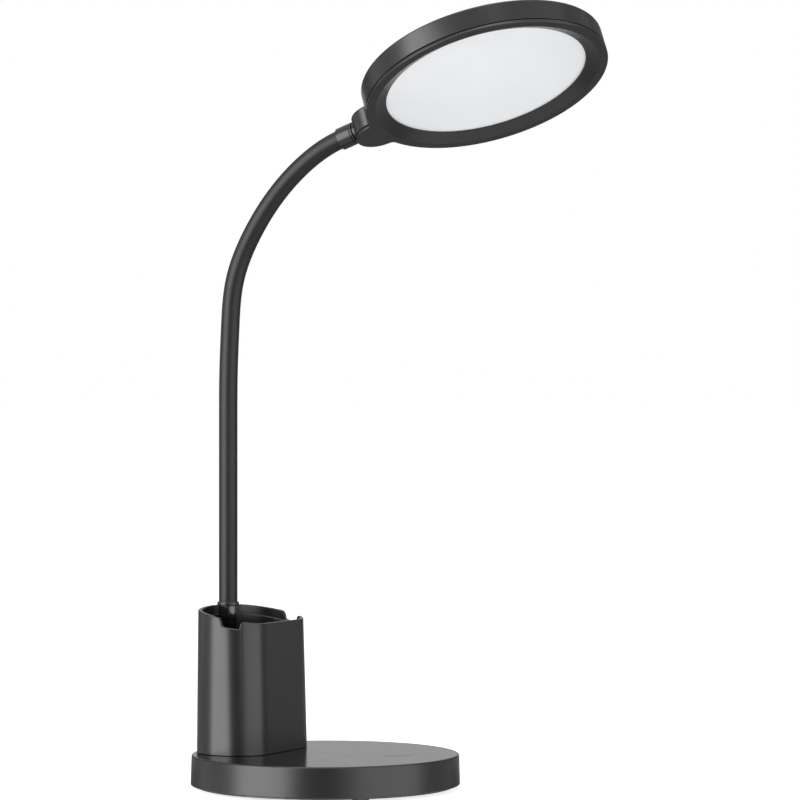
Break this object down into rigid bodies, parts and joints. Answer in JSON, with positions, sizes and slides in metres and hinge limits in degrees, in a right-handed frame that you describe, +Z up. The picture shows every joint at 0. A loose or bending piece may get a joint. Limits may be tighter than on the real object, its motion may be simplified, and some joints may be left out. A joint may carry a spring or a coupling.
{
  "type": "led table lamp",
  "caption": "Table lamp with a round flat lit head on a bending neck, standing in a slant-rimmed pen cup on a round weighted base with a touch key.",
  "frame": {"origin": "on the table under the centre of the round base, at the height of the feet's undersides", "axes": "+Z up, +X to the front, the side the head leans towards and the touch key lies on, +Y to the lamp's left"},
  "size_m": [0.2342, 0.1554, 0.4324],
  "materials": {
    "black_plastic": "satin black moulded plastic",
    "black_sleeve": "matt black soft sleeve",
    "black_gloss": "glossy black",
    "grey_rubber": "matt light grey",
    "opal": "satin opal white",
    "clear_acrylic": "clear, polished",
    "white_film": "matt white",
    "steel": "bright drawn steel",
    "ballast": "bare cast plate",
    "zinc": "zinc plated",
    "board_green": "green circuit board",
    "board_white": "white flexible board",
    "brass": "bare brass"
  },
  "bodies": {
    "stand": {"base_cover": "black_plastic", "charging_port": "black_plastic", "bottom_plate": "black_plastic", "foot_1": "grey_rubber", "foot_2": "grey_rubber", "foot_3": "grey_rubber", "foot_4": "grey_rubber", "plate_screw_1": "zinc", "plate_screw_2": "zinc", "plate_screw_3": "zinc", "plate_screw_4": "zinc", "ballast_weight": "ballast", "control_board": "board_green", "board_screw_1": "zinc", "board_screw_2": "zinc", "touch_contact": "brass", "cup_shell": "black_plastic", "cup_liner": "black_plastic", "cup_screw_1": "zinc", "cup_screw_2": "zinc", "cup_screw_3": "zinc", "lower_ferrule": "black_gloss", "neck_stud": "zinc", "neck_washer": "zinc", "neck_nut": "zinc", "neck_sleeve_01": "black_sleeve", "neck_core_01": "steel"},
    "neck_link_02": {"neck_sleeve_02": "black_sleeve", "neck_core_02": "steel"},
    "neck_link_03": {"neck_sleeve_03": "black_sleeve", "neck_core_03": "steel"},
    "neck_link_04": {"neck_sleeve_04": "black_sleeve", "neck_core_04": "steel"},
    "neck_link_05": {"neck_sleeve_05": "black_sleeve", "neck_core_05": "steel"},
    "neck_link_06": {"neck_sleeve_06": "black_sleeve", "neck_core_06": "steel"},
    "neck_link_07": {"neck_sleeve_07": "black_sleeve", "neck_core_07": "steel"},
    "neck_link_08": {"neck_sleeve_08": "black_sleeve", "neck_core_08": "steel"},
    "neck_link_09": {"neck_sleeve_09": "black_sleeve", "neck_core_09": "steel"},
    "neck_link_10": {"neck_sleeve_10": "black_sleeve", "neck_core_10": "steel"},
    "neck_link_11": {"neck_sleeve_11": "black_sleeve", "neck_core_11": "steel", "upper_ferrule": "black_gloss", "swivel_washer": "zinc", "swivel_nut": "zinc"},
    "head": {"head_housing": "black_plastic", "head_bezel": "black_plastic", "diffuser": "opal", "light_guide": "clear_acrylic", "reflector_film": "white_film", "led_strip": "board_white"}
  },
  "joints": [
    {"name": "neck_bend_1", "type": "hinge", "parent": "stand", "child": "neck_link_02", "pos_m": [-0.0621, 0, 0.12821], "axis": [-0.0785, 0.9969, 0], "range_deg": [-13, 10]},
    {"name": "neck_sway_1", "type": "hinge", "parent": "neck_link_02", "child": "neck_link_03", "pos_m": [-0.0621, 0, 0.15442], "axis": [0.9969, 0.0785, 0], "range_deg": [-9, 9]},
    {"name": "neck_bend_2", "type": "hinge", "parent": "neck_link_03", "child": "neck_link_04", "pos_m": [-0.0621, 0, 0.18063], "axis": [-0.0785, 0.9969, 0], "range_deg": [-13, 10]},
    {"name": "neck_sway_2", "type": "hinge", "parent": "neck_link_04", "child": "neck_link_05", "pos_m": [-0.0621, 0, 0.20684], "axis": [0.9969, 0.0785, 0], "range_deg": [-9, 9]},
    {"name": "neck_bend_3", "type": "hinge", "parent": "neck_link_05", "child": "neck_link_06", "pos_m": [-0.06189, 0.00002, 0.23304], "axis": [-0.0785, 0.9969, 0], "range_deg": [-13, 10]},
    {"name": "neck_sway_3", "type": "hinge", "parent": "neck_link_06", "child": "neck_link_07", "pos_m": [-0.06083, 0.0001, 0.25923], "axis": [0.9957, 0.0784, -0.0485], "range_deg": [-9, 9]},
    {"name": "neck_bend_4", "type": "hinge", "parent": "neck_link_07", "child": "neck_link_08", "pos_m": [-0.05797, 0.00032, 0.28524], "axis": [-0.0785, 0.9969, 0], "range_deg": [-13, 10]},
    {"name": "neck_sway_4", "type": "hinge", "parent": "neck_link_08", "child": "neck_link_09", "pos_m": [-0.04825, 0.00109, 0.30949], "axis": [0.8761, 0.0689, -0.4773], "range_deg": [-9, 9]},
    {"name": "neck_bend_5", "type": "hinge", "parent": "neck_link_09", "child": "neck_link_10", "pos_m": [-0.03387, 0.00222, 0.33133], "axis": [-0.0785, 0.9969, 0], "range_deg": [-13, 10]},
    {"name": "neck_sway_5", "type": "hinge", "parent": "neck_link_10", "child": "neck_link_11", "pos_m": [-0.01558, 0.00366, 0.34998], "axis": [0.6323, 0.0498, -0.7732], "range_deg": [-9, 9]},
    {"name": "head_turn", "type": "hinge", "parent": "neck_link_11", "child": "head", "pos_m": [0.01586, 0.00613, 0.36713], "axis": [0.9282, 0.073, 0.3649], "range_deg": [-45, 75]}
  ]
}
